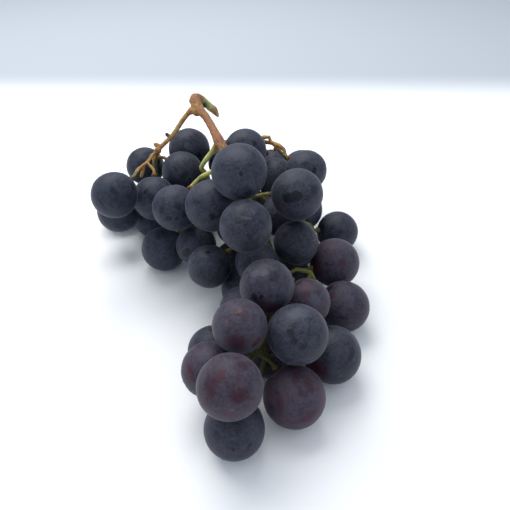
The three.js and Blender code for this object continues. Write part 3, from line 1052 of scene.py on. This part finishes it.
@dataclass(frozen=True)
class Swelling:
    """A place on the stalk, in millimetres, that is thicker or thinner than its solid.

    Attributes:
        at: its middle.
        size: how far it reaches.
        by: how much thicker the stalk is there; a web is a ball of its size instead.
    """

    at: tuple[float, float, float]
    size: float
    by: float = 0.0


WEBS = (
    Swelling((-14.2, 71.8, 73.0), 2.3),
    Swelling((-17.2, 73.4, 73.0), 2.0),
    Swelling((-35.6, 57.6, 56.6), 1.9),
)
THINNED = (
    Swelling((-42, 50, 51), 8, -0.28),
    Swelling((22, -45, 27), 20, -0.30),
    Swelling((27, -33, 28), 8, -0.35),
    Swelling((33, -12, 30), 9, -0.25),
    Swelling((-31.4, 65.3, 62.8), 2.0, -0.30),
)

CUT_PLACE = Vector((-3.69, 91.84, 63.6)) * MM
CUT_WAY = Vector((0.984, -0.140, 0.109)).normalized()


@dataclass(frozen=True)
class Bark:
    """The stalk's skin: green to rosy and woody, streaked along its length."""

    cork: Colour = CORK
    pith: Colour = (0.250, 0.145, 0.068)
    roughness: float = 0.62

    def material(self) -> bpy.types.Material:
        """Builds the bark's material.

        Returns:
            The material. It reads Object coordinates and the stalk's own attributes.
        """
        made, g, shader = new_material("Grape stalk bark")
        place = g.out("ShaderNodeTexCoord", None, None, "Object")
        tone = g.named("tone", "Color")
        streak = g.named("streak")
        cork = g.named("cork")
        cut = g.named("cut")
        patch = g.noise(place, 5.0 * MM, 3.0, 0.6)
        fleck = g.noise(place, 0.8 * MM, 3.0, 0.6, 4.0)
        shade = 0.72 + streak * 0.5 + (patch - 0.5) * 0.6 + (fleck - 0.5) * 0.35
        colour = g.scaled(tone, shade)
        brown = (cork + (patch - 0.5) * 0.5 + (fleck - 0.5) * 0.3).rise(0.35, 0.75)
        colour = g.blend(brown * 0.9, colour, self.cork)
        dots = (1.0 - fleck.rise(0.3, 0.4)) * 0.5
        colour = g.blend(dots, colour, self.cork)
        colour = g.blend(cut, colour, g.scaled(self.pith, 0.5 + fleck))
        height = streak * 0.8 + fleck * 0.6 + brown * patch
        bump = g.out("ShaderNodeBump", None, {"Strength": 0.6, "Distance": 0.15 * MM, "Height": height})
        sockets = {
            "Base Color": colour,
            "Roughness": self.roughness + brown * 0.2,
            "Normal": bump,
            "Specular IOR Level": 0.2,
        }
        join_sockets(g, shader, sockets)
        return made


@dataclass
class Stalk:
    """The stalk: stems, pedicels, buttons, stubs and the cut end, grown as one."""

    node: bpy.types.Object
    balls: list[Ball]
    bark: bpy.types.Material
    voxel: float = 0.42 * MM
    smoothing: int = 7
    swell: float = 0.22 * MM
    button_reach: float = 3.2 * MM
    button_width: float = 2.4 * MM
    touch: float = 0.9 * MM
    pressed_in: float = 0.25 * MM
    clearance: float = 0.05 * MM
    streak_relief: float = 0.22 * MM
    wart_height: float = 0.4 * MM
    deep_cork: float = 0.5
    deep_heights: tuple[float, float] = (35 * MM, 50 * MM)
    cut_trim: float = 0.5 * MM
    cut_reach: float = 8.5 * MM
    cut_rim: float = 0.3 * MM
    cut_depth: float = 0.12 * MM
    streak_steps: int = 14
    seed: int = 7

    def build(self) -> bpy.types.Object:
        """Grows the stalk from the frame's node and dresses it.

        Returns:
            The finished piece.
        """
        rounded = self._rounded()
        places = points_of(rounded)
        edges = np.empty(len(rounded.data.edges) * 2, dtype=np.int64)
        rounded.data.edges.foreach_get("vertices", edges)
        edges = edges.reshape(-1, 2)
        normals = np.empty(len(places) * 3)
        rounded.data.vertices.foreach_get("normal", normals)
        normals = normals.reshape(-1, 3)
        grain, tips = self._grain(normals, edges)
        streak = self._streak(places, edges, grain)
        near_button = self._near_button(places)
        places = places + normals * (self.swell + self._thinned(places))[:, None]
        places += normals * ((streak - 0.5) * self.streak_relief)[:, None]
        places = self._touching(places)
        rounded.data.vertices.foreach_set("co", places.ravel())
        outer = np.interp(places[:, 2], self.deep_heights, (self.deep_cork, 1.0))
        cork = np.clip(tips * 0.8 + near_button, 0.0, 1.0) * outer
        put_attribute(rounded.data, "tone", "FLOAT_COLOR", self._tones(places))
        put_attribute(rounded.data, "streak", "FLOAT", streak)
        put_attribute(rounded.data, "cork", "FLOAT", cork)
        put_attribute(rounded.data, "cut", "FLOAT", np.zeros(len(places)))
        piece = self._relief(rounded)
        self._cut_clean(piece.data)
        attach(piece, BODY)
        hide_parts(self.node.name)
        log.info("%s: %d faces", piece.name, len(piece.data.polygons))
        return piece

    def _rounded(self) -> bpy.types.Object:
        """A merged copy of the node, remeshed evenly and smoothed round."""
        mesh = self.node.data.copy()
        shell = bmesh.new()
        shell.from_mesh(mesh)
        bmesh.ops.remove_doubles(shell, verts=shell.verts, dist=1e-7)
        for web in WEBS:
            place = Matrix.Translation(Vector(web.at) * MM)
            bmesh.ops.create_icosphere(shell, subdivisions=2, radius=web.size * MM, matrix=place)
        shell.to_mesh(mesh)
        shell.free()
        mesh.materials.clear()
        obj = bpy.data.objects.new("stalk_form", mesh)
        bpy.context.scene.collection.objects.link(obj)
        remesh = obj.modifiers.new("Even faces", "REMESH")
        remesh.mode = "VOXEL"
        remesh.voxel_size = self.voxel
        remesh.use_smooth_shade = True
        smooth = obj.modifiers.new("Rounding", "SMOOTH")
        smooth.factor = 0.5
        smooth.iterations = self.smoothing
        result = plain_mesh(obj)
        obj.modifiers.clear()
        obj.data = result
        bpy.data.meshes.remove(mesh)
        self._drop_scraps(result)
        return obj

    @staticmethod
    def _drop_scraps(mesh: bpy.types.Mesh) -> None:
        """Deletes every loose bit of the remeshed form but the largest."""
        shell = bmesh.new()
        shell.from_mesh(mesh)
        unseen = set(shell.verts)
        bodies = []
        while unseen:
            front = [unseen.pop()]
            body = []
            while front:
                vert = front.pop()
                body.append(vert)
                linked = {edge.other_vert(vert) for edge in vert.link_edges} & unseen
                unseen -= linked
                front.extend(linked)
            bodies.append(body)
        bodies.sort(key=len)
        scraps = [vert for body in bodies[:-1] for vert in body]
        bmesh.ops.delete(shell, geom=scraps, context="VERTS")
        shell.to_mesh(mesh)
        shell.free()
        log.info("stalk form: %d loose scraps dropped", len(bodies) - 1)

    @staticmethod
    def _spread(values: np.ndarray, edges: np.ndarray, weights: np.ndarray | None = None) -> np.ndarray:
        """Averages values over each vertex and its neighbours along the edges.

        Args:
            values: a row for each vertex.
            edges: pairs of vertex numbers.
            weights: how much each edge counts, 1 if left out.

        Returns:
            The averaged values.
        """
        first, second = edges.T
        share = np.ones(len(edges)) if weights is None else weights
        flat = values.reshape(len(values), -1)
        total = flat.copy()
        for column in range(flat.shape[1]):
            total[:, column] += np.bincount(first, share * flat[second, column], len(flat))
            total[:, column] += np.bincount(second, share * flat[first, column], len(flat))
        weight = 1.0 + np.bincount(first, share, len(flat)) + np.bincount(second, share, len(flat))
        return (total / weight[:, None]).reshape(values.shape)

    def _grain(self, normals: np.ndarray, edges: np.ndarray) -> tuple[np.ndarray, np.ndarray]:
        """Finds which way the stem runs at each vertex, and where it ends.

        Args:
            normals: the vertices' normals.
            edges: pairs of vertex numbers.

        Returns:
            A unit vector along the stem for each vertex, and a number that is 0 along a stem
            and 1 on an end, where normals face all ways.
        """
        spreads = normals[:, :, None] * normals[:, None, :]
        for _ in range(6):
            spreads = self._spread(spreads, edges)
        sizes, ways = np.linalg.eigh(spreads)
        tips = np.clip((sizes[:, 0] - 0.05) / 0.15, 0.0, 1.0)
        return ways[:, :, 0], tips

    def _streak(self, places: np.ndarray, edges: np.ndarray, grain: np.ndarray) -> np.ndarray:
        """Random values drawn out along the stem, from 0 to 1.

        Args:
            places: the vertices.
            edges: pairs of vertex numbers.
            grain: the way that the stem runs at each vertex.

        Returns:
            The streaks.
        """
        along = places[edges[:, 1]] - places[edges[:, 0]]
        along /= np.linalg.norm(along, axis=1)[:, None]
        facing = np.abs((along * grain[edges[:, 0]]).sum(1)) ** 6
        streak = np.random.default_rng(self.seed).uniform(size=len(places))
        for _ in range(self.streak_steps):
            streak = self._spread(streak, edges, facing * 4.0)
        streak = (streak - streak.mean()) / (4.0 * streak.std()) + 0.5
        return np.clip(streak, 0.0, 1.0)

    def _near_button(self, places: np.ndarray) -> np.ndarray:
        """A number that is 1 at a pedicel's button and 0 past its reach."""
        tree = KDTree(len(self.balls))
        for index, ball in enumerate(self.balls):
            tree.insert(ball.middle + ball.stem_way * ball.radius, index)
        tree.balance()
        far = np.array([tree.find(place)[2] for place in places])
        return np.clip(1.6 - far / self.button_reach * 1.6, 0.0, 1.0)

    def _touching(self, places: np.ndarray) -> np.ndarray:
        """Lets the buttons reach down to the skins they end at, and keeps stems out of grapes."""
        for ball in self.balls:
            offset = places - np.array(ball.middle)
            far = np.linalg.norm(offset, axis=1)
            button = np.array(ball.middle + ball.stem_way * ball.radius)
            at_button = np.linalg.norm(places - button, axis=1) < self.button_width
            surface = ball.radius - self.pressed_in
            low = at_button & (far < ball.radius + self.touch)
            share = np.clip((ball.radius + self.touch - far) / self.touch, 0.0, 1.0)
            target = far - share * (far - surface) * 1.15
            move = np.where(low, np.maximum(target, surface - 0.1 * MM) / far, 1.0)
            clear = ball.radius + self.clearance
            move = np.where(~at_button & (far < clear), clear / far, move)
            places = np.array(ball.middle) + offset * move[:, None]
        return places

    def _cut_clean(self, mesh: bpy.types.Mesh) -> None:
        """Cuts the stem's end sharp, where the knife went through it.

        Args:
            mesh: the finished stalk's mesh, whose cut attribute becomes 1 on the cut.
        """
        shell = bmesh.new()
        shell.from_mesh(mesh)
        plane = CUT_PLACE - CUT_WAY * self.cut_trim
        near = [v for v in shell.verts if (v.co - plane).length < self.cut_reach]
        edges = {edge for vert in near for edge in vert.link_edges}
        faces = {face for vert in near for face in vert.link_faces}
        geometry = [*near, *edges, *faces]
        made = bmesh.ops.bisect_plane(
            shell, geom=geometry, plane_co=plane, plane_no=CUT_WAY, clear_outer=True
        )
        rim = [item for item in made["geom_cut"] if isinstance(item, bmesh.types.BMEdge)]
        filled = bmesh.ops.edgeloop_fill(shell, edges=rim)["faces"]
        inset = bmesh.ops.inset_region(
            shell, faces=filled, thickness=self.cut_rim, depth=-self.cut_depth
        )
        fresh = bmesh.ops.triangulate(shell, faces=filled)["faces"]
        cut = shell.verts.layers.float["cut"]
        for face in (*inset["faces"], *fresh):
            face.smooth = False
            for vert in face.verts:
                vert[cut] = 1.0
        shell.to_mesh(mesh)
        shell.free()

    @staticmethod
    def _thinned(places: np.ndarray) -> np.ndarray:
        """How much thicker the stalk is at each vertex than its solid, in metres."""
        total = np.zeros(len(places))
        for spot in THINNED:
            far = np.linalg.norm(places - np.array(spot.at) * MM, axis=1)
            total += spot.by * MM * np.exp(-((far / (spot.size * MM)) ** 4))
        return total

    @staticmethod
    def _tones(places: np.ndarray) -> np.ndarray:
        """The colour of each vertex, blended between the toned places round it."""
        total = np.tile(np.array(OLIVE) * PLAIN_SHARE, (len(places), 1))
        weight = np.full(len(places), PLAIN_SHARE)
        for toned in TONED_PLACES:
            far = np.linalg.norm(places - np.array(toned.at) * MM, axis=1)
            share = toned.strength * np.exp(-((far / (toned.reach * MM)) ** 2))
            total += share[:, None] * np.array(toned.colour)
            weight += share
        return np.c_[total / weight[:, None], np.ones(len(places))]

    def _relief(self, rounded: bpy.types.Object) -> bpy.types.Object:
        """Adds warts and unevenness, most on the corky places.

        Args:
            rounded: the smooth stalk with its attributes.

        Returns:
            The stalk with its relief, as a new object; the old one is removed.
        """
        inputs = [("Wart Height", "NodeSocketFloat"), ("Bark", "NodeSocketMaterial")]
        g, given = new_tree("Stalk relief", inputs)
        where = g.out("GeometryNodeInputPosition")
        cork = g.out("GeometryNodeInputNamedAttribute", {"data_type": "FLOAT"}, {"Name": "cork"})
        uneven = g.noise(where, 3.5 * MM, 2.0) - 0.5
        warts = g.noise(where, 0.9 * MM, 1.0, 0.5, 9.0) - 0.45
        height = given["Wart Height"] * (uneven + warts * (0.25 + cork * 1.2))
        offset = g.scaled(g.out("GeometryNodeInputNormal"), height)
        raised = g.out("GeometryNodeSetPosition", None, {"Geometry": given["Geometry"], "Offset": offset})
        end_tree(g, raised, given["Bark"])
        mesh = rounded.data
        values = {"Wart Height": self.wart_height, "Bark": self.bark}
        bpy.data.objects.remove(rounded)
        piece = grown("grown_stalk", g.tree, values, mesh)
        bpy.data.node_groups.remove(g.tree)
        return piece


def corners(box: Any) -> list[list[float]]:
    """A box as plain lists of numbers."""
    return [[float(v) for v in corner] for corner in box]


def main() -> None:
    """Builds the studio, the grapes and the stalk."""
    studio = Studio()
    studio.build()
    balls = read_balls(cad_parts)
    Grapes(balls, BloomedSkin().material(), studio).build()
    Stalk(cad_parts["stalk"], balls, Bark().material()).build()


if __name__ == "__main__":
    main()
